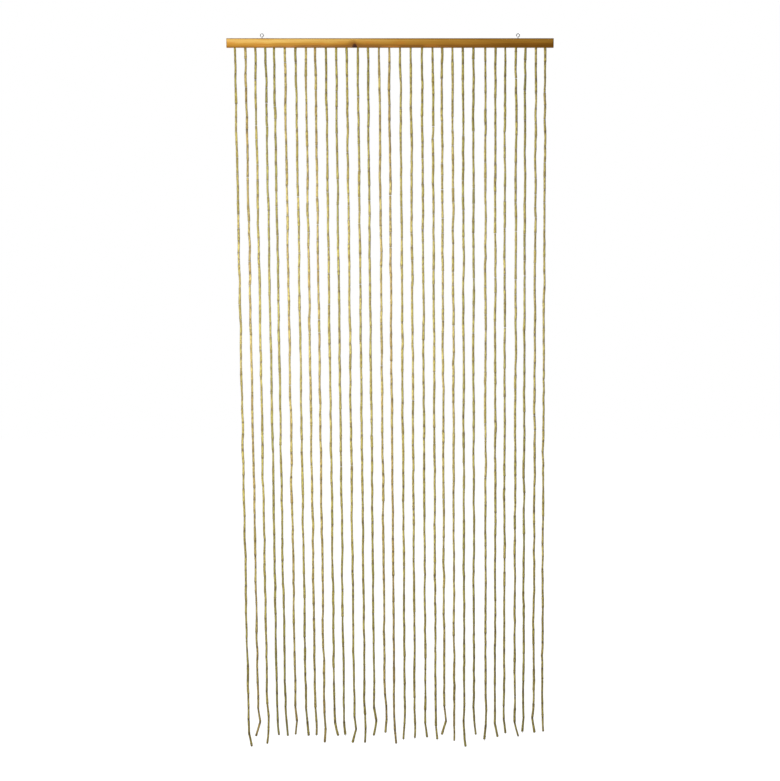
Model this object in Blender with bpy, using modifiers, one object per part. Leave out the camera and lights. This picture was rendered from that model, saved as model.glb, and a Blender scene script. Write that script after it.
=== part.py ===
"""Bamboo door curtain: strings of thin bamboo tubes under a pine rail that hangs by two screw eyes.

Metres, +Z up, +X to the viewer's right and +Y to the back. The origin is the middle of the rail's flat
back face. Each string of tubes is one four-sided strand, and the strands' roots are one piece with the
narrow strip that is let into the rail's underside.
"""

import math
from collections import namedtuple

import bmesh
import bpy
from mathutils import Matrix, Vector

# Rail
RAIL_LENGTH = 0.900
RAIL_HEIGHT = 0.025
RAIL_DEPTH = 0.015
FRONT_ROUNDING = 0.004
BACK_ROUNDING = 0.0008
ROUNDING_STEPS = 4
RAIL_TOP = RAIL_HEIGHT / 2
RAIL_UNDERSIDE = -RAIL_HEIGHT / 2
MIDDLE_Y = -RAIL_DEPTH / 2

# Clearance left between two pieces that meet
GAP = 0.0003

# Strings. All lean to the right, by this run for each metre of drop, and sway a little on the way down
FIRST_TO_LAST_STRING = 0.854
STRAND_WIDTH = 0.0052
LEAN = 0.0080
SWAY = 0.0007
SWAY_LENGTH = 0.34
DEPTH_SWAY = 0.0020
UPPER_SECTIONS = 20
LOWER_SECTIONS = 6

# Strip that holds the strands' roots
STRIP_HEIGHT = 0.007
STRIP_OVERHANG = 0.005

# Screw eyes. The ring's wire stops this many degrees short of its lowest point, clear of the shank
EYE_TO_RAIL_END = 0.098
EYE_WIRE = 0.0019
EYE_OUTER = 0.0104
EYE_CENTRE_ABOVE_RAIL = 0.0081
EYE_OPENING_ANGLE = 20
EYE_BEND_RADIUS = 0.0013
EYE_BEND_STEPS = 4
EYE_RING_STEPS = 26
EYE_SHANK_DEPTH = 0.0115
EYE_POINT_LENGTH = 0.003
EYE_POINT_THINNESS = 0.25
EYE_WIRE_SIDES = 10
EYE_HOLE_SIDES = 24

MILLIMETRE = 0.001
GOLDEN_RATIO = 0.618034

# Strings from left to right, in millimetres. Shift: the root off its even place. Drop: the tip below the
# rail. Bow and tip: how far the lowest stretch and its end stray to the right. Rise: the bow above the tip.
String = namedtuple("String", "shift drop bow tip rise")
STRINGS = (
    String(0, 1997, 1, 9, 40),
    String(0, 1964, 6, -8, 36),
    String(-1, 1987, 5, -2, 70),
    String(-2, 1961, 1, 4, 40),
    String(-6, 1964, 1, 6, 40),
    String(-5, 1960, 5, 1, 32),
    String(-4, 1964, 2, 6, 40),
    String(-4, 1962, 5, 1, 30),
    String(-7, 1983, 4, 0, 30),
    String(-6, 1963, 0, 9, 34),
    String(-6, 1961, 1, 3, 40),
    String(-6, 1985, 6, -5, 42),
    String(-3, 1985, 2, 0, 60),
    String(-4, 1963, 6, -1, 44),
    String(-2, 1954, 4, 1, 60),
    String(-2, 1987, 1, 5, 50),
    String(-1, 1974, 0, -4, 40),
    String(0, 1971, 1, -1, 40),
    String(3, 1969, 0, 6, 32),
    String(3, 1975, 0, 4, 40),
    String(1, 1960, 7, -8, 44),
    String(1, 1978, 0, 1, 40),
    String(1, 1998, -3, 4, 70),
    String(2, 1960, 1, 5, 40),
    String(6, 1976, 2, -3, 70),
    String(6, 1968, -3, 6, 48),
    String(4, 1956, -1, 5, 40),
    String(5, 1965, -3, 11, 46),
    String(3, 1951, 2, -2, 30),
    String(3, 1954, -4, 4, 36),
    String(0, 1951, 0, 3, 40),
)


def remove_everything():
    """Clears the scene."""
    for item in list(bpy.data.objects):
        bpy.data.objects.remove(item, do_unlink=True)


def new_collection(name):
    """A collection in the scene."""
    collection = bpy.data.collections.new(name)
    bpy.context.scene.collection.children.link(collection)
    return collection


def move_to(item, collection):
    """Leaves the object in this collection alone."""
    for owner in list(item.users_collection):
        owner.objects.unlink(item)
    collection.objects.link(item)


def plain_material(name, colour, roughness, metallic=0.0):
    """A Principled material."""
    material = bpy.data.materials.new(name)
    material.use_nodes = True
    shader = material.node_tree.nodes["Principled BSDF"]
    shader.inputs["Base Color"].default_value = (*colour, 1.0)
    shader.inputs["Roughness"].default_value = roughness
    shader.inputs["Metallic"].default_value = metallic
    material.diffuse_color = (*colour, 1.0)
    return material


def pine():
    """Varnished pine of the rail."""
    return plain_material("varnished_pine", (0.55, 0.31, 0.08), 0.35)


def bamboo():
    """Dry bamboo of the strings."""
    return plain_material("bamboo", (0.42, 0.36, 0.17), 0.5)


def zinc():
    """Bright zinc plating of the screw eyes."""
    return plain_material("zinc", (0.72, 0.72, 0.74), 0.3, 1.0)


def add_box(name, size, centre, collection):
    """A box with its place and size in its mesh."""
    bpy.ops.mesh.primitive_cube_add(size=1.0, location=centre)
    box = bpy.context.object
    box.name = name
    box.scale = size
    bpy.ops.object.transform_apply(location=True, rotation=False, scale=True)
    move_to(box, collection)
    return box


def mark_as_cutter(cutter):
    """Keeps a cutting shape out of the render."""
    cutter.hide_render = True
    cutter.display_type = "WIRE"


def cut_away(piece, cutter):
    """Takes the cutter's shape out of the piece."""
    cut = piece.modifiers.new(f"cut_{cutter.name}", "BOOLEAN")
    cut.operation = "DIFFERENCE"
    cut.solver = "EXACT"
    cut.object = cutter


def string_root(index):
    """Place along the rail at which a string leaves it."""
    pitch = FIRST_TO_LAST_STRING / (len(STRINGS) - 1)
    return index * pitch - FIRST_TO_LAST_STRING / 2 + STRINGS[index].shift * MILLIMETRE


def strip_length():
    """The strip runs a little past the first and the last string."""
    return FIRST_TO_LAST_STRING + STRAND_WIDTH + 2 * STRIP_OVERHANG


def strip_centre():
    """The strip is flush with the rail's underside."""
    return Vector((0.0, MIDDLE_Y, RAIL_UNDERSIDE + STRIP_HEIGHT / 2))


def eye_places():
    """Place along the rail of the left and of the right screw eye."""
    place = RAIL_LENGTH / 2 - EYE_TO_RAIL_END
    return {"left": -place, "right": place}


def ease_rail_edges(rail):
    """Rounds the front edges broadly and the others slightly."""
    mesh = rail.data
    weights = mesh.attributes.new("bevel_weight_edge", "FLOAT", "EDGE")
    for edge in mesh.edges:
        ends = [mesh.vertices[corner].co for corner in edge.vertices]
        on_front = all(end.y < MIDDLE_Y for end in ends)
        weights.data[edge.index].value = 1.0 if on_front else BACK_ROUNDING / FRONT_ROUNDING
    easing = rail.modifiers.new("eased_edges", "BEVEL")
    easing.limit_method = "WEIGHT"
    easing.width = FRONT_ROUNDING
    easing.segments = ROUNDING_STEPS


def groove_cutter(cutters):
    """The groove in the rail's underside that takes the strip."""
    overshoot = FRONT_ROUNDING
    size = (
        strip_length() + 2 * GAP,
        STRAND_WIDTH + 2 * GAP,
        STRIP_HEIGHT + GAP + overshoot,
    )
    centre = strip_centre() + Vector((0.0, 0.0, (GAP - overshoot) / 2))
    groove = add_box("groove", size, centre, cutters)
    mark_as_cutter(groove)
    return groove


def eye_hole_cutter(side, place, cutters):
    """The blind hole for one screw eye's shank."""
    overshoot = FRONT_ROUNDING
    depth = EYE_SHANK_DEPTH + GAP + overshoot
    bpy.ops.mesh.primitive_cylinder_add(
        vertices=EYE_HOLE_SIDES,
        radius=EYE_WIRE / 2 + GAP,
        depth=depth,
        location=(place, MIDDLE_Y, RAIL_TOP + overshoot - depth / 2),
    )
    hole = bpy.context.object
    hole.name = f"eye_hole_{side}"
    move_to(hole, cutters)
    mark_as_cutter(hole)
    return hole


def add_rail(collection, cutters):
    """The pine rail: flat back, rounded front edges, a groove underneath and two holes on top."""
    size = (RAIL_LENGTH, RAIL_DEPTH, RAIL_HEIGHT)
    rail = add_box("rail", size, (0.0, MIDDLE_Y, 0.0), collection)
    ease_rail_edges(rail)
    cut_away(rail, groove_cutter(cutters))
    for side, place in eye_places().items():
        cut_away(rail, eye_hole_cutter(side, place, cutters))
    rail.data.materials.append(pine())


def arc(centre_x, centre_z, radius, start, end, steps):
    """Points of an arc in the XZ plane, angles in degrees from +X towards +Z."""
    points = []
    for step in range(steps + 1):
        angle = math.radians(start + (end - start) * step / steps)
        points.append((centre_x + radius * math.cos(angle), centre_z + radius * math.sin(angle)))
    return points


def eye_route():
    """The eye's wire in its own XZ plane: up the shank, a short bend, then round the ring.

    The bend is an arc that touches the shank's line and the ring's circle from outside. The ring stops
    short of the shank, as a bent wire does.
    """
    ring_radius = (EYE_OUTER - EYE_WIRE) / 2
    ring_z = RAIL_TOP + EYE_CENTRE_ABOVE_RAIL
    reach = ring_radius + EYE_BEND_RADIUS
    drop = math.sqrt(reach**2 - EYE_BEND_RADIUS**2)
    touch = math.degrees(math.atan2(-drop, EYE_BEND_RADIUS))
    shank_foot = RAIL_TOP - EYE_SHANK_DEPTH
    shank = [(0.0, shank_foot), (0.0, shank_foot + EYE_POINT_LENGTH)]
    bend_centre_z = ring_z - drop
    bend = arc(EYE_BEND_RADIUS, bend_centre_z, EYE_BEND_RADIUS, 180, 180 + touch, EYE_BEND_STEPS)
    ring = arc(0.0, ring_z, ring_radius, touch, 270 - EYE_OPENING_ANGLE, EYE_RING_STEPS)
    return shank + bend + ring[1:]


def add_screw_eye(side, place, collection, material):
    """One screw eye: a bent wire whose ring faces the front and whose shank is in the rail."""
    curve = bpy.data.curves.new(f"screw_eye_{side}", "CURVE")
    curve.dimensions = "3D"
    curve.bevel_depth = EYE_WIRE / 2
    curve.bevel_resolution = EYE_WIRE_SIDES // 2 - 2
    curve.use_fill_caps = True
    route = eye_route()
    spline = curve.splines.new("POLY")
    spline.points.add(len(route) - 1)
    for point, (x, z) in zip(spline.points, route):
        point.co = (x, 0.0, z, 1.0)
    spline.points[0].radius = EYE_POINT_THINNESS
    spline.use_smooth = True
    eye = bpy.data.objects.new(f"screw_eye_{side}", curve)
    eye.location = (place, MIDDLE_Y, 0.0)
    curve.materials.append(material)
    collection.objects.link(eye)


def stray(string, below):
    """Sideways stray of a string's lowest stretch, at this distance below the rail.

    It starts two rises above the tip, bows out by the middle and ends at the tip's own offset.
    """
    rise = string.rise * MILLIMETRE
    along = (below - string.drop * MILLIMETRE) / rise + 2.0
    if along <= 0.0:
        return 0.0
    bow = string.bow * math.sin(math.pi * along / 2) ** 2
    tip = string.tip * (along / 2) ** 3
    return (bow + tip) * MILLIMETRE


def strand_centre(index, below):
    """Middle of a string at this distance below the rail."""
    string = STRINGS[index]
    phase = index * GOLDEN_RATIO
    turns = below / SWAY_LENGTH + phase
    sway = SWAY * (math.sin(2 * math.pi * turns) - math.sin(2 * math.pi * phase))
    depth = DEPTH_SWAY * math.sin(math.pi * turns / 2) * below / (string.drop * MILLIMETRE)
    return Vector(
        (
            string_root(index) + LEAN * below + sway + stray(string, below),
            MIDDLE_Y + depth,
            RAIL_UNDERSIDE - below,
        )
    )


def section_drops(string):
    """Distances below the rail of a strand's sections: even above, closer where its end strays."""
    drop = string.drop * MILLIMETRE
    lower = 2 * string.rise * MILLIMETRE
    upper = drop - lower
    even = [upper * step / UPPER_SECTIONS for step in range(UPPER_SECTIONS + 1)]
    close = [upper + lower * step / LOWER_SECTIONS for step in range(1, LOWER_SECTIONS + 1)]
    return even + close


def grow_strand(bm, face, index):
    """Draws one face of the strip's underside down along the string, square to its direction."""
    drops = section_drops(STRINGS[index])
    centres = [strand_centre(index, below) for below in drops]
    centres[0] = face.calc_center_median()
    old_turn = 0.0
    for above, centre, following in zip(centres, centres[1:], centres[2:] + centres[-1:]):
        heading = following - above
        turn = math.atan2(heading.x, -heading.z)
        face = bmesh.ops.extrude_discrete_faces(bm, faces=[face])["faces"][0]
        bmesh.ops.translate(bm, verts=face.verts, vec=centre - above)
        turning = Matrix.Rotation(old_turn - turn, 3, "Y")
        bmesh.ops.rotate(bm, verts=face.verts, cent=centre, matrix=turning)
        old_turn = turn


def root_face(bm, index):
    """The face of the strip's underside from which a string grows."""
    place = Vector((string_root(index), MIDDLE_Y, RAIL_UNDERSIDE))
    underside = [face for face in bm.faces if abs(face.calc_center_median().z - place.z) < GAP]
    return min(underside, key=lambda face: (face.calc_center_median() - place).length)


def add_strings(collection):
    """The strands and the strip that joins their roots, drawn down from the strip's underside."""
    size = (strip_length(), STRAND_WIDTH, STRIP_HEIGHT)
    strings = add_box("strings", size, strip_centre(), collection)
    bm = bmesh.new()
    bm.from_mesh(strings.data)
    for index in range(len(STRINGS)):
        for side in (-0.5, 0.5):
            geometry = bm.verts[:] + bm.edges[:] + bm.faces[:]
            cut = Vector((string_root(index) + side * STRAND_WIDTH, 0.0, 0.0))
            bmesh.ops.bisect_plane(bm, geom=geometry, plane_co=cut, plane_no=(1.0, 0.0, 0.0))
    roots = [root_face(bm, index) for index in range(len(STRINGS))]
    for index, face in enumerate(roots):
        grow_strand(bm, face, index)
    bm.to_mesh(strings.data)
    bm.free()
    strings.data.materials.append(bamboo())


def build():
    """Puts the whole curtain together."""
    remove_everything()
    curtain = new_collection("bamboo_door_curtain")
    cutters = new_collection("cutters")
    add_rail(curtain, cutters)
    eye_finish = zinc()
    for side, place in eye_places().items():
        add_screw_eye(side, place, curtain, eye_finish)
    add_strings(curtain)


build()
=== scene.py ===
import math
import random

import bmesh
import bpy
from mathutils import Matrix, Vector


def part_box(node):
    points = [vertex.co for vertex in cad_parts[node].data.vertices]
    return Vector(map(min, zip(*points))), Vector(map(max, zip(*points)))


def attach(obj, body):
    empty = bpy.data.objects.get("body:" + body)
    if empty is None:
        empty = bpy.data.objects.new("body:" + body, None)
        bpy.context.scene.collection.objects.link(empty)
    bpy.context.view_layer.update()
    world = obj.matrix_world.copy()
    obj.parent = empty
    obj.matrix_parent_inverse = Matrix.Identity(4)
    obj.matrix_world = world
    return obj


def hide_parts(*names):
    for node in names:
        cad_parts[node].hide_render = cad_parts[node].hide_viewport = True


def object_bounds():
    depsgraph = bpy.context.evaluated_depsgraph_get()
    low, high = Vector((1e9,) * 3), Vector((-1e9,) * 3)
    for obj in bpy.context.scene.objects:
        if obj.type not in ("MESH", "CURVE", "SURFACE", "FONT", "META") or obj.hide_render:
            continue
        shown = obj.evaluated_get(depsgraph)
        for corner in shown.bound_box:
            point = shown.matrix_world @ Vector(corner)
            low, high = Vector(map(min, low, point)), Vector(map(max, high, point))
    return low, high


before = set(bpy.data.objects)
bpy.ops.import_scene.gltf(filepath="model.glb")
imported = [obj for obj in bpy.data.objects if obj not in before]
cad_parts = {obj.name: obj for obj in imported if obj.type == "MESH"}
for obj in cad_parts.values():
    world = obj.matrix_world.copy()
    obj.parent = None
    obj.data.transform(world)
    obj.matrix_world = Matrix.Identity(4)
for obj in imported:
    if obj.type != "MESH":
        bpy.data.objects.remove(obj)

cad_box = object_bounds()


# Hanging rail
# One length of pine moulding, planed flat at the back and rounded along its front edges, then varnished.
# A groove is ploughed in its underside for the batten that holds the strings, and a hole is drilled in
# its top edge for each screw eye.

FRONT_ROUNDING = 0.0040
FRONT_CROWN = 0.0006
# Heights of the lines along the front that are drawn out, each with its share of the crown.
CROWN_LINES = ((0.0060, 0.55), (0.0, 1.0), (-0.0060, 0.55))
BACK_ARRIS = 0.0008
GROOVE_CLEARANCE = 0.0003
GROOVE_CUTTER_BELOW = 0.004
EYE_HOLE_RADIUS = 0.00125
EYE_HOLE_DEPTH = 0.0118
HAIR = 0.0001
CLEAR_OF_EDGE = 0.001
MERGE_DISTANCE = 0.000005
MAP_FOLDS = (-0.15, 0.15)
MAP_ANGLE = 66
MAP_MARGIN = 0.004
GRAIN_FOOT = -0.012
GRAIN_TOP = 0.013
GRAIN_WAVER = 0.010
PITH_PLACE = (0.0, 0.034, -0.046)
PITH_TILT = (0.0, math.radians(0.9), math.radians(-0.5))
RING_SPACING = 0.0026
# At a scale of one, the wave texture repeats after this many metres.
WAVE_REPEAT = 0.314159
KNOT_PLACE = (-0.0932, -0.0114)
KNOT_SIZE = (0.0074, 0.0066)
KNOT_LEAN = 0.35
KNOT_NARROWER_TO_RIGHT = 1.5
KNOT_RAGGEDNESS = 0.7
KNOT_REACH = 0.018
KNOT_LIFT = 0.0030
FLUSH_COLOUR = (0.55, 0.205, 0.024, 1.0)


def pick(*pieces):
    """Selects these objects alone, and makes the first of them the active one."""
    bpy.ops.object.select_all(action="DESELECT")
    for piece in pieces:
        piece.select_set(True)
    bpy.context.view_layer.objects.active = pieces[0]


def start_block(name, low, high):
    """A box between two corners, with its place and size in its mesh, left active in edit mode."""
    bpy.ops.object.select_all(action="DESELECT")
    bpy.ops.mesh.primitive_cube_add(size=1.0, location=(Vector(low) + Vector(high)) / 2)
    block = bpy.context.object
    block.name = name
    block.scale = Vector(high) - Vector(low)
    bpy.ops.object.transform_apply(location=True, rotation=False, scale=True)
    bpy.ops.object.mode_set(mode="EDIT")
    return block


def choose(kind, is_wanted):
    """In edit mode, selects the corners, edges or faces that pass a test of their middle and direction."""
    bpy.ops.mesh.select_mode(type=kind)
    bpy.ops.mesh.select_all(action="DESELECT")
    shape = bpy.context.object.data
    mesh = bmesh.from_edit_mesh(shape)
    if kind == "VERT":
        for corner in mesh.verts:
            corner.select_set(is_wanted(corner.co, corner.normal))
    if kind == "EDGE":
        for edge in mesh.edges:
            one, other = (corner.co for corner in edge.verts)
            edge.select_set(is_wanted((one + other) / 2, (other - one).normalized()))
    if kind == "FACE":
        for face in mesh.faces:
            face.select_set(is_wanted(face.calc_center_median(), face.normal))
    mesh.select_flush_mode()
    bmesh.update_edit_mesh(shape)


def cut_across(place, normal):
    """In edit mode, adds a line of edges all round the shape where a plane crosses it."""
    bpy.ops.mesh.select_all(action="SELECT")
    bpy.ops.mesh.bisect(plane_co=place, plane_no=normal)


def cut_out(piece, cutter):
    """Takes the cutter's shape out of the piece and throws the cutter away."""
    pick(piece)
    cut = piece.modifiers.new("cut", "BOOLEAN")
    cut.operation = "DIFFERENCE"
    cut.solver = "EXACT"
    cut.object = cutter
    bpy.ops.object.modifier_apply(modifier=cut.name)
    bpy.data.objects.remove(cutter, do_unlink=True)


def smooth_but_for_edges(piece, angle):
    """Smooth shading, broken at edges that turn more than this many degrees."""
    pick(piece)
    bpy.ops.object.shade_smooth_by_angle(angle=math.radians(angle))


def coat(piece, *finishes):
    """Gives a piece its materials, in place of any that it has."""
    piece.data.materials.clear()
    for finish in finishes:
        piece.data.materials.append(finish)


def new_finish(name):
    """A material, its node tree and its shader."""
    finish = bpy.data.materials.new(name)
    finish.use_nodes = True
    return finish, finish.node_tree, finish.node_tree.nodes["Principled BSDF"]


def feed(tree, socket, value):
    """Sets a socket to a number or colour, or links it to another node's output."""
    if isinstance(value, bpy.types.NodeSocket):
        tree.links.new(value, socket)
    else:
        socket.default_value = value


def add(tree, kind, inputs, **settings):
    """Adds a shading node with its settings and inputs, and gives its outputs."""
    node = tree.nodes.new(kind)
    for name, value in settings.items():
        setattr(node, name, value)
    for name, value in inputs.items():
        feed(tree, node.inputs[name], value)
    return node.outputs


def calc(tree, operation, *values):
    """One step of arithmetic in a node tree."""
    node = tree.nodes.new("ShaderNodeMath")
    node.operation = operation
    for socket, value in zip(node.inputs, values):
        feed(tree, socket, value)
    return node.outputs[0]


def total(tree, so_far, *others):
    """Adds values up in a node tree."""
    for value in others:
        so_far = calc(tree, "ADD", so_far, value)
    return so_far


def about_zero(tree, share, spread):
    """Turns a share from 0 to 1 into a value about zero, with this spread."""
    return calc(tree, "MULTIPLY", calc(tree, "SUBTRACT", share, 0.5), spread)


def tones(tree, share, *stops):
    """Colours along a ramp, each stop a place from 0 to 1 and a colour or a grey."""
    node = tree.nodes.new("ShaderNodeValToRGB")
    ramp = node.color_ramp
    while len(ramp.elements) < len(stops):
        ramp.elements.new(1.0)
    for element, (place, colour) in zip(ramp.elements, stops):
        element.position = place
        grey = isinstance(colour, (int, float))
        element.color = (colour, colour, colour, 1.0) if grey else (*colour, 1.0)
    tree.links.new(share, node.inputs["Fac"])
    return node.outputs["Color"]


def mix(tree, how, share, under, over):
    """Lays one colour over another."""
    node = tree.nodes.new("ShaderNodeMix")
    node.data_type = "RGBA"
    node.blend_type = how
    feed(tree, node.inputs[0], share)
    feed(tree, node.inputs[6], under)
    feed(tree, node.inputs[7], over)
    return node.outputs[2]


def stretched_noise(tree, place, stretch, detail=3.0, roughness=0.55, shift=(0.0, 0.0, 0.0)):
    """Noise from 0 to 1, drawn out along the directions whose stretch is small."""
    scaled = add(tree, "ShaderNodeMapping", {"Vector": place, "Scale": stretch, "Location": shift})
    inputs = {"Vector": scaled[0], "Scale": 1.0, "Detail": detail, "Roughness": roughness}
    return add(tree, "ShaderNodeTexNoise", inputs)["Fac"]


def run_of_grain(tree, place):
    """Places and heights as they would be if the grain ran straight. It rises over the knot and wavers."""
    x, y, z = add(tree, "ShaderNodeSeparateXYZ", {"Vector": place})
    off_knot = calc(tree, "DIVIDE", calc(tree, "SUBTRACT", x, KNOT_PLACE[0]), KNOT_REACH)
    falling = calc(tree, "MULTIPLY", calc(tree, "MULTIPLY", off_knot, off_knot), -1.0)
    lift = calc(tree, "MULTIPLY", calc(tree, "POWER", math.e, falling), KNOT_LIFT)
    waver = about_zero(tree, stretched_noise(tree, place, (7.0, 2.0, 2.0), 2.0), GRAIN_WAVER)
    height = total(tree, calc(tree, "SUBTRACT", z, lift), waver)
    return add(tree, "ShaderNodeCombineXYZ", {"X": x, "Y": y, "Z": height})[0], height


def late_wood_of_rings(tree, grain_place):
    """Growth rings round a pith behind the rail: each darkens to its late wood and ends sharply."""
    ringed = {"Vector": grain_place, "Location": [-value for value in PITH_PLACE], "Rotation": PITH_TILT}
    inputs = {
        "Vector": add(tree, "ShaderNodeMapping", ringed)[0],
        "Scale": WAVE_REPEAT / RING_SPACING,
        "Distortion": 1.6,
        "Detail": 2.0,
        "Detail Scale": 0.35,
        "Detail Roughness": 0.5,
    }
    kind = {"wave_type": "RINGS", "rings_direction": "X", "wave_profile": "SAW"}
    rings = add(tree, "ShaderNodeTexWave", inputs, **kind)["Fac"]
    return tones(tree, rings, (0.0, 0.0), (0.55, 0.12), (0.86, 1.0), (0.97, 0.85), (1.0, 0.0))


def with_knot(tree, place, wood):
    """The wood with a small dark knot in it, ragged at its rim and narrower to its right."""
    x, _, z = add(tree, "ShaderNodeSeparateXYZ", {"Vector": place})
    over_knot = calc(tree, "SUBTRACT", z, KNOT_PLACE[1])
    lean = calc(tree, "MULTIPLY", calc(tree, "MAXIMUM", over_knot, 0.0), KNOT_LEAN)
    aside = total(tree, calc(tree, "SUBTRACT", x, KNOT_PLACE[0]), lean)
    across = calc(tree, "DIVIDE", aside, KNOT_SIZE[0])
    to_right = calc(tree, "MULTIPLY", calc(tree, "MAXIMUM", across, 0.0), KNOT_NARROWER_TO_RIGHT)
    across = total(tree, across, to_right)
    above = calc(tree, "DIVIDE", over_knot, KNOT_SIZE[1])
    squares = total(tree, calc(tree, "MULTIPLY", across, across), calc(tree, "MULTIPLY", above, above))
    ragged = stretched_noise(tree, place, (260.0, 120.0, 260.0), 3.0)
    ragged = calc(tree, "MULTIPLY", ragged, KNOT_RAGGEDNESS)
    from_knot = calc(tree, "MULTIPLY", total(tree, calc(tree, "SQRT", squares), ragged), 0.25)
    in_knot = tones(tree, from_knot, (0.0, 1.0), (0.34, 0.98), (0.44, 0.78), (0.62, 0.45), (0.92, 0.0))
    knot_wood = tones(
        tree,
        from_knot,
        (0.0, (0.018, 0.002, 0.001)),
        (0.34, (0.040, 0.008, 0.002)),
        (0.5, (0.21, 0.080, 0.012)),
    )
    return mix(tree, "MIX", in_knot, wood, knot_wood)


def varnished_pine():
    """Pine under thin varnish: growth rings round a pith behind the rail, paler in the upper part with
    painted shade darkening the top and lower rounded edges, a knot at the lower edge that the grain rises
    over, and deeper amber to the right."""
    finish, tree, shader = new_finish("varnished_pine")
    place = add(tree, "ShaderNodeTexCoord", {})["Object"]
    x = add(tree, "ShaderNodeSeparateXYZ", {"Vector": place})["X"]
    grain_place, height = run_of_grain(tree, place)
    late_wood = late_wood_of_rings(tree, grain_place)
    streaks = stretched_noise(tree, grain_place, (3.0, 190.0, 190.0), 4.0, 0.6)
    fibres = stretched_noise(tree, grain_place, (26.0, 1500.0, 1500.0), 3.0, 0.6)
    clouds = stretched_noise(tree, place, (5.0, 30.0, 30.0), 2.0)

    up = add(tree, "ShaderNodeMapRange", {"Value": height, "From Min": GRAIN_FOOT, "From Max": GRAIN_TOP})[0]
    along = add(tree, "ShaderNodeMapRange", {"Value": x, "From Min": rail_low.x, "From Max": rail_high.x})[0]
    facing = add(tree, "ShaderNodeNewGeometry", {})["Normal"]
    towards_end = add(tree, "ShaderNodeSeparateXYZ", {"Vector": facing})["X"]
    end_grain = calc(tree, "POWER", calc(tree, "ABSOLUTE", towards_end), 6.0)
    # Amber by height: paler in the upper part and deeper towards the bottom; the darkening at the top and
    # lower rounded edges is painted shade.
    amber_and_painted_shade_by_height = tones(
        tree,
        up,
        (0.0, 0.90),
        (0.12, 0.78),
        (0.23, 0.54),
        (0.34, 0.44),
        (0.46, 0.28),
        (0.57, 0.15),
        (0.68, 0.06),
        (0.86, 0.12),
        (1.0, 0.40),
    )
    amber = total(
        tree,
        amber_and_painted_shade_by_height,
        calc(tree, "MULTIPLY", along, 0.45),
        calc(tree, "MULTIPLY", late_wood, 0.13),
        about_zero(tree, streaks, 0.50),
        about_zero(tree, clouds, 0.22),
        about_zero(tree, fibres, 0.16),
        calc(tree, "MULTIPLY", end_grain, 0.22),
    )
    wood = tones(
        tree,
        amber,
        (0.0, (0.85, 0.60, 0.205)),
        (0.25, (0.69, 0.405, 0.089)),
        (0.5, (0.51, 0.250, 0.033)),
        (0.75, (0.383, 0.167, 0.0144)),
        (1.0, (0.239, 0.094, 0.0067)),
    )

    flush = stretched_noise(tree, grain_place, (16.0, 60.0, 60.0), 2.0, 0.5, (2.3, 0.0, 0.0))
    flushed = tones(tree, flush, (0.50, 0.0), (0.66, 0.65))
    flushed = calc(tree, "MULTIPLY", flushed, tones(tree, up, (0.45, 1.0), (0.75, 0.1)))
    flushed = calc(tree, "MULTIPLY", flushed, tones(tree, along, (0.55, 1.0), (0.72, 0.15)))
    wood = mix(tree, "MIX", flushed, wood, FLUSH_COLOUR)
    wood = mix(tree, "MULTIPLY", 1.0, wood, tones(tree, along, (0.0, 1.0), (0.5, 0.80), (1.0, 0.71)))
    tree.links.new(with_knot(tree, place, wood), shader.inputs["Base Color"])

    sheen = total(tree, calc(tree, "MULTIPLY", fibres, 0.14), calc(tree, "MULTIPLY", clouds, 0.10), 0.30)
    tree.links.new(sheen, shader.inputs["Roughness"])
    shader.inputs["Specular IOR Level"].default_value = 0.10
    shader.inputs["Coat Weight"].default_value = 0.03
    shader.inputs["Coat Roughness"].default_value = 0.2
    relief = total(tree, calc(tree, "MULTIPLY", late_wood, 0.5), fibres)
    bump = add(tree, "ShaderNodeBump", {"Height": relief, "Strength": 0.22, "Distance": 0.0004})
    tree.links.new(bump[0], shader.inputs["Normal"])
    return finish


def at_fold(middle, way):
    """Whether an edge lies across the rail at a fold of its map."""
    return min(abs(middle.x - fold) for fold in MAP_FOLDS) < HAIR and abs(way.x) < 0.5


rail_low, rail_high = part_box("rail")
rail_middle = (rail_low + rail_high) / 2
flat_front = rail_low.y + FRONT_CROWN

rail = start_block("pine_rail", rail_low + Vector((0.0, FRONT_CROWN, 0.0)), rail_high)
choose("EDGE", lambda middle, way: middle.y < rail_middle.y and abs(way.y) < 0.5)
bpy.ops.mesh.bevel(offset=FRONT_ROUNDING, offset_type="OFFSET", segments=7, affect="EDGES")
choose("EDGE", lambda middle, way: middle.y > rail_high.y - BACK_ARRIS / 2 and abs(way.y) < 0.5)
bpy.ops.mesh.bevel(offset=BACK_ARRIS, offset_type="OFFSET", segments=3, affect="EDGES")
for line_height, _ in CROWN_LINES:
    cut_across((0.0, 0.0, line_height), (0.0, 0.0, 1.0))
for line_height, share in CROWN_LINES:
    choose("VERT", lambda place, way: abs(place.z - line_height) < HAIR and place.y < flat_front + HAIR)
    bpy.ops.transform.translate(value=(0.0, -FRONT_CROWN * share, 0.0))
bpy.ops.object.mode_set(mode="OBJECT")

solid_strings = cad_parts["strings"].data
in_groove = [corner.co for corner in solid_strings.vertices if corner.co.z > rail_low.z + CLEAR_OF_EDGE]
groove_low = Vector(min(place[axis] for place in in_groove) - GROOVE_CLEARANCE for axis in range(3))
groove_high = Vector(max(place[axis] for place in in_groove) + GROOVE_CLEARANCE for axis in range(3))
groove_low.z = rail_low.z - GROOVE_CUTTER_BELOW
groove = start_block("groove", groove_low, groove_high)
bpy.ops.object.mode_set(mode="OBJECT")
cut_out(rail, groove)

for side in ("left", "right"):
    eye_low, eye_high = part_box(f"screw_eye_{side}")
    bpy.ops.object.select_all(action="DESELECT")
    bpy.ops.mesh.primitive_cylinder_add(
        vertices=24,
        radius=EYE_HOLE_RADIUS,
        depth=2 * EYE_HOLE_DEPTH,
        location=((eye_low.x + eye_high.x) / 2, rail_middle.y, rail_high.z),
    )
    cut_out(rail, bpy.context.object)
smooth_but_for_edges(rail, 28)

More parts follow.
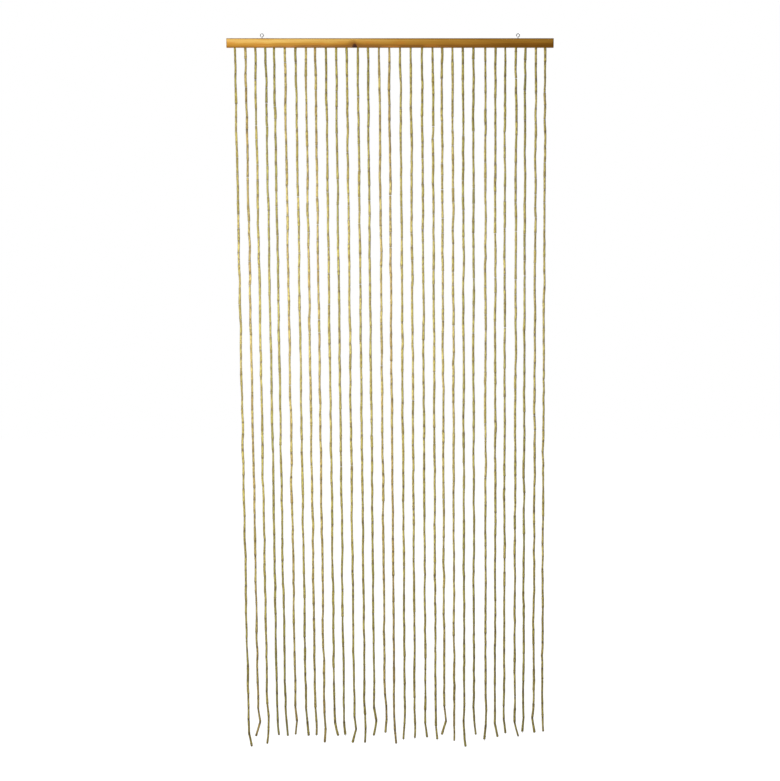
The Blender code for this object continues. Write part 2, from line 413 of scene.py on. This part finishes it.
# The rail's map is cut into three lengths, so that so long a piece fills the square of its baked colours.
bpy.ops.object.mode_set(mode="EDIT")
for fold in MAP_FOLDS:
    cut_across((fold, 0.0, 0.0), (1.0, 0.0, 0.0))
choose("EDGE", at_fold)
bpy.ops.mesh.edge_split()
rail.data.uv_layers.active.name = "OFBake"
bpy.ops.mesh.select_all(action="SELECT")
bpy.ops.uv.smart_project(angle_limit=math.radians(MAP_ANGLE), island_margin=MAP_MARGIN)
bpy.ops.mesh.remove_doubles(threshold=MERGE_DISTANCE)
bpy.ops.object.mode_set(mode="OBJECT")
coat(rail, varnished_pine())
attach(rail, "root")
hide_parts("rail")


# Screw eyes
# Two screw eyes of mild steel wire, bent to a ring and plated with bright zinc, the thread cut on the
# shank. Each is screwed down into the rail's top edge until its ring stands square to the front.

EYE_WIRE = 0.0019
EYE_OUTER = 0.0104
EYE_BEND_RADIUS = 0.0013
EYE_OPENING_ANGLE = 20
EYE_POINT_LENGTH = 0.003
EYE_POINT_TAPER = 4.0
WIRE_SIDES = 16
WIRE_END_INSET = 0.00025
THREAD_PITCH = 0.0009
THREAD_TURNS = 10
THREAD_STEPS = 14
THREAD_RADIUS = 0.0003
THREAD_START = 0.7


def put_in_scene(name, data):
    """A new object in the scene with this mesh, curve, light or camera."""
    thing = bpy.data.objects.new(name, data)
    bpy.context.scene.collection.objects.link(thing)
    return thing


def join(pieces):
    """Makes one object of several, and gives it."""
    pick(*pieces)
    bpy.ops.object.join()
    return bpy.context.object


def bright_zinc():
    """Zinc plating: bright, a little clouded, with fine grit."""
    finish, tree, shader = new_finish("zinc")
    place = add(tree, "ShaderNodeTexCoord", {})["Object"]
    clouds = stretched_noise(tree, place, (420.0, 420.0, 420.0), 4.0)
    grit = stretched_noise(tree, place, (2600.0, 2600.0, 2600.0), 2.0)
    colour = tones(
        tree,
        clouds,
        (0.30, (0.20, 0.20, 0.21)),
        (0.55, (0.31, 0.31, 0.32)),
        (0.75, (0.43, 0.42, 0.40)),
    )
    tree.links.new(colour, shader.inputs["Base Color"])
    shader.inputs["Metallic"].default_value = 1.0
    tree.links.new(total(tree, calc(tree, "MULTIPLY", clouds, 0.30), 0.14), shader.inputs["Roughness"])
    bump = add(tree, "ShaderNodeBump", {"Height": grit, "Strength": 0.15, "Distance": 0.0001})
    tree.links.new(bump[0], shader.inputs["Normal"])
    return finish


def bend_wire(degrees, centre_x, centre_z, steps, towards_right):
    """In edit mode, draws the selected end of the wire round an arc in the rail's own plane."""
    bpy.ops.mesh.spin(
        steps=steps,
        angle=math.radians(degrees),
        center=(centre_x, 0.0, centre_z),
        axis=(0.0, -1.0 if towards_right else 1.0, 0.0),
    )


eye_low, eye_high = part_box("screw_eye_left")
ring_z = eye_high.z - EYE_OUTER / 2
ring_radius = (EYE_OUTER - EYE_WIRE) / 2
bend_drop = math.sqrt((ring_radius + EYE_BEND_RADIUS) ** 2 - EYE_BEND_RADIUS**2)
touch_angle = math.degrees(math.atan2(bend_drop, EYE_BEND_RADIUS))
shank_top = ring_z - bend_drop

bpy.ops.object.select_all(action="DESELECT")
bpy.ops.mesh.primitive_circle_add(
    vertices=WIRE_SIDES,
    radius=EYE_WIRE / 2 / EYE_POINT_TAPER,
    fill_type="NGON",
    location=(0.0, 0.0, eye_low.z),
)
wire = bpy.context.object
bpy.ops.object.transform_apply(location=True)
bpy.ops.object.mode_set(mode="EDIT")
bpy.ops.mesh.select_all(action="SELECT")
bpy.ops.mesh.extrude_region_move(TRANSFORM_OT_translate={"value": (0.0, 0.0, EYE_POINT_LENGTH)})
bpy.ops.transform.resize(
    value=(EYE_POINT_TAPER, EYE_POINT_TAPER, 1.0),
    center_override=(0.0, 0.0, eye_low.z + EYE_POINT_LENGTH),
)
shank_rise = shank_top - eye_low.z - EYE_POINT_LENGTH
bpy.ops.mesh.extrude_region_move(TRANSFORM_OT_translate={"value": (0.0, 0.0, shank_rise)})
bend_wire(touch_angle, EYE_BEND_RADIUS, shank_top, steps=8, towards_right=True)
bend_wire(270 - EYE_OPENING_ANGLE + touch_angle, 0.0, ring_z, steps=44, towards_right=False)
bpy.ops.mesh.inset(thickness=WIRE_END_INSET)
bpy.ops.object.mode_set(mode="OBJECT")

bpy.ops.object.select_all(action="DESELECT")
thread_foot = eye_low.z + EYE_POINT_LENGTH * THREAD_START
bpy.ops.mesh.primitive_circle_add(
    vertices=3,
    radius=THREAD_RADIUS,
    fill_type="NGON",
    location=(EYE_WIRE / 2, 0.0, thread_foot),
    rotation=(math.radians(90), 0.0, 0.0),
)
thread = bpy.context.object
bpy.ops.object.transform_apply(location=True, rotation=True)
winding = thread.modifiers.new("winding", "SCREW")
winding.axis = "Z"
winding.screw_offset = THREAD_PITCH
winding.iterations = THREAD_TURNS
winding.steps = THREAD_STEPS
winding.render_steps = THREAD_STEPS
winding.use_merge_vertices = True
winding.merge_threshold = MERGE_DISTANCE
bpy.ops.object.modifier_apply(modifier=winding.name)
wire = join([wire, thread])
bpy.ops.object.mode_set(mode="EDIT")
bpy.ops.mesh.select_all(action="SELECT")
bpy.ops.mesh.remove_doubles(threshold=MERGE_DISTANCE)
bpy.ops.mesh.normals_make_consistent(inside=False)
bpy.ops.object.mode_set(mode="OBJECT")
smooth_but_for_edges(wire, 40)
coat(wire, bright_zinc())

for side in ("left", "right"):
    eye_low, eye_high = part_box(f"screw_eye_{side}")
    eye = put_in_scene(f"screw_eye_{side}_wire", wire.data.copy())
    eye.data.transform(Matrix.Translation(((eye_low.x + eye_high.x) / 2, rail_middle.y, 0.0)))
    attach(eye, "root")
    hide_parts(f"screw_eye_{side}")
bpy.data.objects.remove(wire, do_unlink=True)


# Batten
# A thin lath that closes the rail's groove, flush with its underside. It is drilled once for each string,
# and the cords' upper ends are glued in its holes.

HOLE_RADIUS = 0.0009
DRILL_LENGTH = 0.03
LATH_ARRIS = 0.0004


def read_string_lines():
    """The middle line of each string from left to right, as points from its root in the batten down to
    its tip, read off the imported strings: each of their sections is four corners at about one height."""
    solid = bmesh.new()
    solid.from_mesh(solid_strings)
    bmesh.ops.remove_doubles(solid, verts=solid.verts, dist=MERGE_DISTANCE)
    below_rail = rail_low.z - CLEAR_OF_EDGE
    unread = {corner for corner in solid.verts if corner.co.z < below_rail}
    lines = []
    while unread:
        strand, found = [], [unread.pop()]
        roots = set()
        while found:
            corner = found.pop()
            strand.append(corner)
            for edge in corner.link_edges:
                other = edge.other_vert(corner)
                if other in unread:
                    unread.remove(other)
                    found.append(other)
                elif other.co.z >= below_rail:
                    roots.add(other)
        corners = sorted([*roots, *strand], key=lambda corner: (-corner.co.z, corner.co.x, corner.co.y))
        sections = [corners[start : start + 4] for start in range(0, len(corners), 4)]
        lines.append([sum((corner.co for corner in section), Vector()) / 4 for section in sections])
    batten_corners = [corner.co.copy() for corner in solid.verts if corner.co.z >= below_rail]
    solid.free()
    lines.sort(key=lambda line: line[0].x)
    return lines, batten_corners


def plain_lath():
    """Unfinished bamboo lath."""
    finish, tree, shader = new_finish("lath")
    place = add(tree, "ShaderNodeTexCoord", {})["Object"]
    streaks = stretched_noise(tree, place, (8.0, 900.0, 900.0), 4.0)
    colour = tones(
        tree,
        streaks,
        (0.3, (0.36, 0.27, 0.12)),
        (0.55, (0.50, 0.40, 0.20)),
        (0.75, (0.60, 0.50, 0.28)),
    )
    tree.links.new(colour, shader.inputs["Base Color"])
    tree.links.new(total(tree, calc(tree, "MULTIPLY", streaks, 0.2), 0.5), shader.inputs["Roughness"])
    bump = add(tree, "ShaderNodeBump", {"Height": streaks, "Strength": 0.3, "Distance": 0.0002})
    tree.links.new(bump[0], shader.inputs["Normal"])
    return finish


string_lines, batten_corners = read_string_lines()
batten_low = Vector(min(corner[axis] for corner in batten_corners) for axis in range(3))
batten_high = Vector(max(corner[axis] for corner in batten_corners) for axis in range(3))
batten = start_block("batten", batten_low, batten_high)
choose("EDGE", lambda middle, way: abs(way.x) > 0.5)
bpy.ops.mesh.bevel(offset=LATH_ARRIS, offset_type="OFFSET", segments=2, affect="EDGES")
bpy.ops.object.mode_set(mode="OBJECT")
bpy.ops.object.select_all(action="DESELECT")
drills = []
for line in string_lines:
    bpy.ops.mesh.primitive_cylinder_add(
        vertices=12, radius=HOLE_RADIUS, depth=DRILL_LENGTH, location=line[0]
    )
    drills.append(bpy.context.object)
cut_out(batten, join(drills))
smooth_but_for_edges(batten, 35)
coat(batten, plain_lath())
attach(batten, "root")
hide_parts("strings")


# Cords
# One thin twisted cotton cord for each string. It comes out of its hole in the batten, runs down through
# the string's tubes, and shows only in the gaps between them and where it is knotted below the last.

CORD_RADIUS = 0.00045
CORD_BELOW_BATTEN_TOP = 0.0005
STRING_END = 0.0024
LONG_KNOTS = (11, 18, 20, 25, 29)
LONG_KNOT_DROP = 0.0022
SHORTEST_TUBE = 0.027
LONGEST_TUBE = 0.047
USUAL_TUBE = 0.040
SHORTEST_LAST_TUBE = 0.038
WIDE_GAP_SHARE = 0.06
WIDE_GAP = (0.0009, 0.0017)
CLOSE_GAP = (0.00025, 0.0008)
JOINT_SHIFT = 0.0005

chance = random.Random(31)


def point_at(line, height):
    """Point of a string's middle line at this height, going on straight past its lower end."""
    for above, below in zip(line, line[1:]):
        if height >= below.z:
            break
    share = (above.z - height) / (above.z - below.z)
    return above.lerp(below, share)


def spacing(length):
    """Lengths of the tubes and of the gaps above them, from the top, that fill this much of a cord."""
    tubes, gaps, filled = [], [], 0.0
    while filled < length:
        shortest = SHORTEST_LAST_TUBE if len(tubes) < 2 else SHORTEST_TUBE
        tubes.append(chance.triangular(shortest, LONGEST_TUBE, USUAL_TUBE))
        wide = chance.random() < WIDE_GAP_SHARE
        gaps.append(chance.uniform(*(WIDE_GAP if wide else CLOSE_GAP)))
        filled += tubes[-1] + gaps[-1]
    if filled - length > USUAL_TUBE / 2:
        filled -= tubes.pop() + gaps.pop()
    gaps[-1] = CLOSE_GAP[0]
    fit = (length - sum(gaps)) / sum(tubes)
    return [tube * fit for tube in reversed(tubes)], list(reversed(gaps))


def side_shift(reach):
    """A small step sideways in any direction."""
    return Vector((chance.gauss(0.0, reach), chance.gauss(0.0, reach), 0.0))


def knotted_at(number, line):
    """Height at which a string's last tube ends and its knot starts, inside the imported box."""
    knot_drop = STRING_END + (LONG_KNOT_DROP if number in LONG_KNOTS else 0.0)
    return max(line[-1].z, cad_box[0].z + knot_drop)


def thread_string(number, line):
    """Joints of one string as heights and places: where each tube starts and ends."""
    top = rail_low.z
    tubes, gaps = spacing(top - knotted_at(number, line))
    joints, height, shift = [], top, Vector()
    for tube, gap in zip(tubes, gaps):
        start = point_at(line, height - gap) + shift
        height -= gap + tube
        shift = side_shift(JOINT_SHIFT)
        joints.append((start, point_at(line, height) + shift))
    return joints


def round_cord(name, routes, is_ring=False):
    """Round cord along each route of points, as one mesh."""
    curve = bpy.data.curves.new(name, "CURVE")
    curve.dimensions = "3D"
    curve.bevel_depth = CORD_RADIUS
    curve.bevel_resolution = 1
    curve.use_fill_caps = True
    for route in routes:
        spline = curve.splines.new("POLY")
        spline.points.add(len(route) - 1)
        spline.use_cyclic_u = is_ring
        for point, place in zip(spline.points, route):
            point.co = (*place, 1.0)
    cord = put_in_scene(name, curve)
    pick(cord)
    bpy.ops.object.convert(target="MESH")
    return cord


def cord_route(line, joints):
    """Points that one cord goes through, from its hole in the batten to the middle of its knot."""
    route = [Vector((line[0].x, rail_middle.y, batten_high.z - CORD_BELOW_BATTEN_TOP))]
    route.append(Vector((line[0].x, rail_middle.y, rail_low.z)))
    for (_, above), (below, _) in zip(joints, joints[1:]):
        route.append((above + below) / 2)
    route.append(joints[-1][1] - Vector((0.0, 0.0, STRING_END / 2)))
    return route


def cotton():
    """Cotton cord of two plies, a little greyed."""
    finish, tree, shader = new_finish("cotton_cord")
    place = add(tree, "ShaderNodeTexCoord", {})["Object"]
    along = add(tree, "ShaderNodeTexCoord", {})["UV"]
    twist = add(
        tree,
        "ShaderNodeTexWave",
        {"Vector": along, "Scale": 3.0, "Distortion": 0.3},
        wave_type="BANDS",
        bands_direction="DIAGONAL",
    )["Fac"]
    dust = stretched_noise(tree, place, (60.0, 60.0, 60.0), 3.0)
    colour = tones(tree, dust, (0.3, (0.44, 0.40, 0.31)), (0.7, (0.64, 0.60, 0.50)))
    colour = mix(tree, "MULTIPLY", calc(tree, "MULTIPLY", twist, 0.45), colour, (0.45, 0.40, 0.32, 1.0))
    tree.links.new(colour, shader.inputs["Base Color"])
    shader.inputs["Roughness"].default_value = 0.9
    bump = add(tree, "ShaderNodeBump", {"Height": twist, "Strength": 0.6, "Distance": 0.0002})
    tree.links.new(bump[0], shader.inputs["Normal"])
    return finish


strings = [thread_string(number, line) for number, line in enumerate(string_lines, 1)]
cords = round_cord("cords", [cord_route(line, joints) for line, joints in zip(string_lines, strings)])
smooth_but_for_edges(cords, 50)
cotton_cord = cotton()
coat(cords, cotton_cord)
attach(cords, "root")
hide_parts("strings")


# Bamboo tubes
# Thin bamboo stems sawn to lengths of about four centimetres, some through a node, dried and lightly
# varnished. They are threaded on the cords end to end, so each lies a little off its neighbours.

TUBE_SIDES = 8
TUBE_BORE = 0.46
THINNEST_TUBE = 0.0056
THICKEST_TUBE = 0.0076
USUAL_THICKNESS = 0.0066
STRINGS_A_PIECE = 3
SAW_SLANT = 0.035
SAME_HEIGHT = 0.001
NODE_FLANK = 0.04
HIGH_NODE = 0.775
LOW_NODE = 0.205
SEED_SPREAD = 97.0
STAIN_BROWN = (0.165, 0.108, 0.038, 1.0)
SAW_CUT_BROWN = (0.13, 0.09, 0.03, 1.0)
NODE_BROWN = (0.13, 0.085, 0.03, 1.0)


def tube_shape(name, rings, node_height=None):
    """One tube, a unit wide and a unit long, standing on the origin. Rings are the heights at which it
    gets another thickness and a step sideways, both as shares of its width."""
    bpy.ops.object.select_all(action="DESELECT")
    bpy.ops.mesh.primitive_cylinder_add(
        vertices=TUBE_SIDES, radius=0.5, depth=1.0, location=(0.0, 0.0, 0.5), end_fill_type="NGON"
    )
    tube = bpy.context.object
    tube.name = name
    bpy.ops.object.transform_apply(location=True)
    bpy.ops.object.mode_set(mode="EDIT")
    for height, _, _ in rings:
        if 0.0 < height < 1.0:
            cut_across((0.0, 0.0, height), (0.0, 0.0, 1.0))
    for height, thickness, step in rings:
        choose("VERT", lambda place, way: abs(place.z - height) < SAME_HEIGHT)
        bpy.ops.transform.resize(value=(thickness, thickness, 1.0), center_override=(0.0, 0.0, height))
        bpy.ops.transform.translate(value=(step, 0.0, 0.0))
    choose("FACE", lambda middle, way: min(middle.z, 1.0 - middle.z) < SAME_HEIGHT)
    bpy.ops.mesh.inset(thickness=(1.0 - TUBE_BORE) / 2)
    bpy.ops.mesh.bridge_edge_loops()
    bpy.ops.object.mode_set(mode="OBJECT")
    mesh = tube.data
    for face in mesh.polygons:
        in_bore = face.center.x * face.normal.x + face.center.y * face.normal.y < 0.0
        at_end = min(face.center.z, 1.0 - face.center.z) < SAME_HEIGHT
        face.material_index = 1 if in_bore or at_end else 0
    note_places(mesh, node_height)
    smooth_but_for_edges(tube, 50)
    return tube


def note_places(mesh, node_height):
    """Keeps each corner's place in the unit tube, and marks those at its sawn ends and at its node."""
    mesh.attributes.new("tube_place", "FLOAT_VECTOR", "POINT")
    mesh.attributes.new("sawn_end", "FLOAT", "POINT")
    mesh.attributes.new("node", "FLOAT", "POINT")
    place, sawn, node = (mesh.attributes[name] for name in ("tube_place", "sawn_end", "node"))
    for corner in mesh.vertices:
        height = corner.co.z
        place.data[corner.index].vector = corner.co
        sawn.data[corner.index].value = 1.0 if min(height, 1.0 - height) < SAME_HEIGHT else 0.0
        at_node = node_height is not None and abs(height - node_height) < SAME_HEIGHT
        node.data[corner.index].value = 1.0 if at_node else 0.0


def bamboo_skin():
    """Dried bamboo under thin varnish. Each tube has its own tone between olive, straw and brown, with
    streaks along it and ragged brown stains, browned at its sawn ends and dark at its node."""
    finish, tree, shader = new_finish("bamboo_skin")
    own = add(tree, "ShaderNodeAttribute", {}, attribute_name="tube_tone")["Vector"]
    tone, light, seed = add(tree, "ShaderNodeSeparateXYZ", {"Vector": own})
    place = add(tree, "ShaderNodeAttribute", {}, attribute_name="tube_place")["Vector"]
    sawn = add(tree, "ShaderNodeAttribute", {}, attribute_name="sawn_end")["Fac"]
    node = add(tree, "ShaderNodeAttribute", {}, attribute_name="node")["Fac"]
    seed_shift = calc(tree, "MULTIPLY", seed, SEED_SPREAD)
    apart = add(tree, "ShaderNodeCombineXYZ", {"X": seed_shift, "Y": 0.0, "Z": 0.0})[0]
    own_place = add(tree, "ShaderNodeVectorMath", {0: place, 1: apart}, operation="ADD")[0]

    streaks = stretched_noise(tree, own_place, (5.0, 5.0, 0.9), 4.0, 0.6)
    fibres = stretched_noise(tree, own_place, (26.0, 26.0, 1.6), 3.0, 0.6, (3.0, 1.0, 0.0))
    blotches = stretched_noise(tree, own_place, (1.8, 1.8, 5.5), 5.0, 0.72, (9.0, 4.0, 2.0))

    skin = tones(
        tree,
        tone,
        (0.0, (0.362, 0.344, 0.094)),
        (0.25, (0.453, 0.407, 0.100)),
        (0.5, (0.551, 0.464, 0.110)),
        (0.75, (0.616, 0.504, 0.150)),
        (1.0, (0.551, 0.399, 0.126)),
    )
    streaked = tones(tree, streaks, (0.34, 0.70), (0.5, 0.97), (0.64, 1.05))
    skin = mix(tree, "MULTIPLY", 1.0, skin, streaked)
    skin = mix(tree, "MULTIPLY", 1.0, skin, tones(tree, fibres, (0.34, 0.78), (0.62, 1.06)))
    skin = mix(tree, "MIX", tones(tree, blotches, (0.43, 0.0), (0.61, 0.96)), skin, STAIN_BROWN)
    browning = total(tree, calc(tree, "MULTIPLY", seed, 0.70), 0.28)
    browned = calc(tree, "MULTIPLY", calc(tree, "POWER", sawn, 1.5), browning)
    skin = mix(tree, "MIX", browned, skin, SAW_CUT_BROWN)
    darkened = calc(tree, "MULTIPLY", calc(tree, "POWER", node, 2.0), 0.90)
    skin = mix(tree, "MIX", darkened, skin, NODE_BROWN)
    skin = mix(tree, "MULTIPLY", 1.0, skin, tones(tree, light, (0.0, 0.86), (1.0, 1.08)))
    tree.links.new(skin, shader.inputs["Base Color"])
    tree.links.new(total(tree, calc(tree, "MULTIPLY", streaks, 0.25), 0.30), shader.inputs["Roughness"])
    shader.inputs["Specular IOR Level"].default_value = 0.2
    bump = add(tree, "ShaderNodeBump", {"Height": fibres, "Strength": 0.35, "Distance": 0.0002})
    tree.links.new(bump[0], shader.inputs["Normal"])
    return finish


def sawn_bamboo():
    """Sawn ends and bore: pale fibres with the darker dots of their vessels."""
    finish, tree, shader = new_finish("sawn_bamboo")
    place = add(tree, "ShaderNodeTexCoord", {})["Object"]
    dots = add(tree, "ShaderNodeTexVoronoi", {"Vector": place, "Scale": 2600.0})["Distance"]
    dust = stretched_noise(tree, place, (500.0, 500.0, 500.0), 3.0)
    colour = tones(tree, dots, (0.15, (0.16, 0.11, 0.05)), (0.5, (0.46, 0.37, 0.20)))
    colour = mix(tree, "MULTIPLY", 1.0, colour, tones(tree, dust, (0.3, 0.6), (0.7, 1.0)))
    tree.links.new(colour, shader.inputs["Base Color"])
    shader.inputs["Roughness"].default_value = 0.8
    bump = add(tree, "ShaderNodeBump", {"Height": dots, "Strength": 0.4, "Distance": 0.0001})
    tree.links.new(bump[0], shader.inputs["Normal"])
    return finish


skin_and_saw_cut = (bamboo_skin(), sawn_bamboo())
TUBE_SHAPES = (
    tube_shape(
        "straight_tube",
        ((0.0, 1.05, 0.0), (0.15, 0.97, 0.02), (0.47, 0.94, 0.05), (0.80, 1.03, 0.02), (1.0, 0.96, 0.0)),
    ),
    tube_shape(
        "tapered_tube",
        ((0.0, 1.10, 0.0), (0.22, 1.05, -0.02), (0.55, 0.96, 0.03), (0.85, 0.93, 0.0), (1.0, 0.90, -0.02)),
    ),
    tube_shape(
        "bent_tube",
        ((0.0, 0.97, 0.0), (0.2, 1.02, 0.07), (0.5, 0.95, 0.13), (0.78, 0.99, 0.09), (1.0, 1.04, 0.0)),
    ),
    tube_shape(
        "tube_with_high_node",
        (
            (0.0, 0.98, 0.0),
            (0.45, 0.95, 0.03),
            (HIGH_NODE - NODE_FLANK, 0.98, 0.01),
            (HIGH_NODE, 1.16, 0.0),
            (HIGH_NODE + NODE_FLANK, 0.97, 0.0),
            (1.0, 0.96, -0.03),
        ),
        HIGH_NODE,
    ),
    tube_shape(
        "tube_with_low_node",
        (
            (0.0, 1.0, 0.02),
            (LOW_NODE - NODE_FLANK, 0.99, 0.0),
            (LOW_NODE, 1.14, 0.0),
            (LOW_NODE + NODE_FLANK, 0.96, 0.0),
            (0.62, 0.95, -0.05),
            (1.0, 0.99, 0.0),
        ),
        LOW_NODE,
    ),
)
SHAPE_SHARES = (5, 4, 4, 2, 2)

# Tones run from 0, olive, over 0.5, straw, to 1, brown. A string's own tone is a step from the middle. The
# strings named here, counted from the left, have theirs from the photograph.
MIDDLE_TONE = 0.5
STRING_TONES = {1: 0.02, 2: 0.35, 3: -0.05, 5: -0.28, 9: 0.32, 14: -0.15, 22: 0.20, 27: -0.12}
STRING_TONE_SPREAD = 0.20
TUBE_TONE_SPREAD = 0.09
ROUNDEST, FLATTEST = 1.0, 0.96


def set_tube(end_above, end_below, string_tone):
    """A copy of one of the tube shapes, laid between two ends, with its own turn, thickness and tone."""
    shape = chance.choices(TUBE_SHAPES, SHAPE_SHARES)[0]
    mesh = shape.data.copy()
    width = chance.triangular(THINNEST_TUBE, THICKEST_TUBE, USUAL_THICKNESS)
    run = end_above - end_below
    saw_cut = Matrix.Identity(4)
    saw_cut[2][0] = chance.uniform(-SAW_SLANT, SAW_SLANT) * width / run.length
    turn = Matrix.Rotation(chance.uniform(0.0, 2 * math.pi), 4, "Z")
    oval = Matrix.Diagonal((width * chance.uniform(FLATTEST, ROUNDEST), width, run.length, 1.0))
    tilt = run.to_track_quat("Z", "Y").to_matrix().to_4x4()
    mesh.transform(Matrix.Translation(end_below) @ tilt @ oval @ turn @ saw_cut)
    tone = mesh.attributes.new("tube_tone", "FLOAT_VECTOR", "POINT")
    own_tone = min(max(chance.gauss(MIDDLE_TONE + string_tone, TUBE_TONE_SPREAD), 0.0), 1.0)
    own = (own_tone, chance.random(), chance.random())
    tone.data.foreach_set("vector", own * len(mesh.vertices))
    return put_in_scene("tube", mesh)


for first in range(0, len(strings), STRINGS_A_PIECE):
    loose_tubes = []
    numbers = range(first + 1, min(first + STRINGS_A_PIECE, len(strings)) + 1)
    for number in numbers:
        string_tone = STRING_TONES.get(number, chance.gauss(0.0, STRING_TONE_SPREAD))
        for end_above, end_below in strings[number - 1]:
            loose_tubes.append(set_tube(end_above, end_below, string_tone))
    tubes = join(loose_tubes)
    tubes.name = f"bamboo_tubes_{numbers[0]:02d}_to_{numbers[-1]:02d}"
    coat(tubes, *skin_and_saw_cut)
    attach(tubes, "root")
    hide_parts("strings")
for shape in TUBE_SHAPES:
    bpy.data.objects.remove(shape, do_unlink=True)


# End knots
# Each cord is tied in an overhand knot that its last tube rests on, and cut off just below. Most are
# drawn up to the tube's mouth, and a few hang a little lower.

KNOT_RADIUS = 0.0013
KNOT_STEPS = 20
KNOT_SPREAD = 1.15
KNOT_HEIGHT = 0.8

knot_loop = []
reach = KNOT_RADIUS - CORD_RADIUS
for step in range(KNOT_STEPS):
    angle = 2 * math.pi * step / KNOT_STEPS
    across = (math.sin(angle) + 2 * math.sin(2 * angle)) / 3
    deep = (math.cos(angle) - 2 * math.cos(2 * angle)) / 3
    high = -math.sin(3 * angle) * KNOT_HEIGHT
    knot_loop.append((across * reach * KNOT_SPREAD, deep * reach * KNOT_SPREAD, high * reach))
knot = round_cord("knot", [knot_loop], is_ring=True)
smooth_but_for_edges(knot, 60)

knots = []
for number, joints in enumerate(strings, 1):
    lower = LONG_KNOT_DROP if number in LONG_KNOTS else 0.0
    tied_at = joints[-1][1] - Vector((0.0, 0.0, STRING_END / 2 + lower))
    tied = put_in_scene("knot", knot.data.copy())
    turn = Matrix.Rotation(chance.uniform(0.0, 2 * math.pi), 4, "Z")
    tied.data.transform(Matrix.Translation(tied_at) @ turn)
    knots.append(tied)
bpy.data.objects.remove(knot, do_unlink=True)
end_knots = join(knots)
end_knots.name = "end_knots"
coat(end_knots, cotton_cord)
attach(end_knots, "root")
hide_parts("strings")


# Studio
# The curtain hangs clear of a plain white floor, in front of white. One soft light stands close in front of
# it, to the left and a little above its middle. A larger one stands far behind it, to the right and above.

FLOOR_BELOW_CURTAIN = 0.04
FLOOR_SIZE = 12.0
FLOOR_GLOW = 0.97
AROUND_LIGHT = 0.26
WHITE = (1.0, 1.0, 1.0, 1.0)

bpy.ops.object.select_all(action="DESELECT")
floor_place = (0.0, 0.0, cad_box[0].z - FLOOR_BELOW_CURTAIN)
bpy.ops.mesh.primitive_plane_add(size=FLOOR_SIZE, location=floor_place)
floor = bpy.context.object
floor.name = "studio_floor"
white_floor, tree, shader = new_finish("white_floor")
shader.inputs["Base Color"].default_value = (0.2, 0.2, 0.2, 1.0)
shader.inputs["Roughness"].default_value = 1.0
shader.inputs["Specular IOR Level"].default_value = 0.0
shader.inputs["Emission Color"].default_value = WHITE
shader.inputs["Emission Strength"].default_value = FLOOR_GLOW
floor.data.materials.append(white_floor)
floor.visible_diffuse = False
floor.visible_glossy = False

studio = bpy.data.worlds.new("studio")
bpy.context.scene.world = studio
studio.use_nodes = True
tree = studio.node_tree
around = tree.nodes["Background"]
straight = tree.nodes.new("ShaderNodeLightPath").outputs["Is Camera Ray"]
strength = total(tree, calc(tree, "MULTIPLY", straight, 1.0 - AROUND_LIGHT), AROUND_LIGHT)
around.inputs["Color"].default_value = WHITE
tree.links.new(strength, around.inputs["Strength"])


def soft_light(name, place, aim, size, power):
    """A square soft box that the camera doesn't see."""
    light = bpy.data.lights.new(name, "AREA")
    light.shape = "SQUARE"
    light.size = size
    light.energy = power
    lamp = put_in_scene(name, light)
    lamp.location = place
    lamp.rotation_euler = (Vector(aim) - Vector(place)).to_track_quat("-Z", "Y").to_euler()
    lamp.visible_camera = False


soft_light("key_light", place=(-0.50, -1.25, -0.74), aim=(0.0, 0.0, -0.74), size=0.7, power=30.0)
soft_light("back_light", place=(1.6, 2.4, 1.4), aim=(0.0, 0.0, -0.6), size=1.2, power=45.0)


# Camera
# It stands four metres in front of the curtain, about level with its upper quarter, and looks a little
# down. Its distance and height come from the places of the strings in the photograph.

CAMERA_DISTANCE = 4.157
CAMERA_HEIGHT = -0.4492
CAMERA_PITCH = 7.05
CAMERA_LENS = 68.2

camera = bpy.data.cameras.new("camera")
camera.lens = CAMERA_LENS
camera_stand = put_in_scene("camera", camera)
camera_stand.location = (0.0, rail_middle.y - CAMERA_DISTANCE, CAMERA_HEIGHT)
camera_stand.rotation_euler = (math.radians(90.0 - CAMERA_PITCH), 0.0, 0.0)
bpy.context.scene.camera = camera_stand
bpy.context.scene.view_settings.view_transform = "Standard"
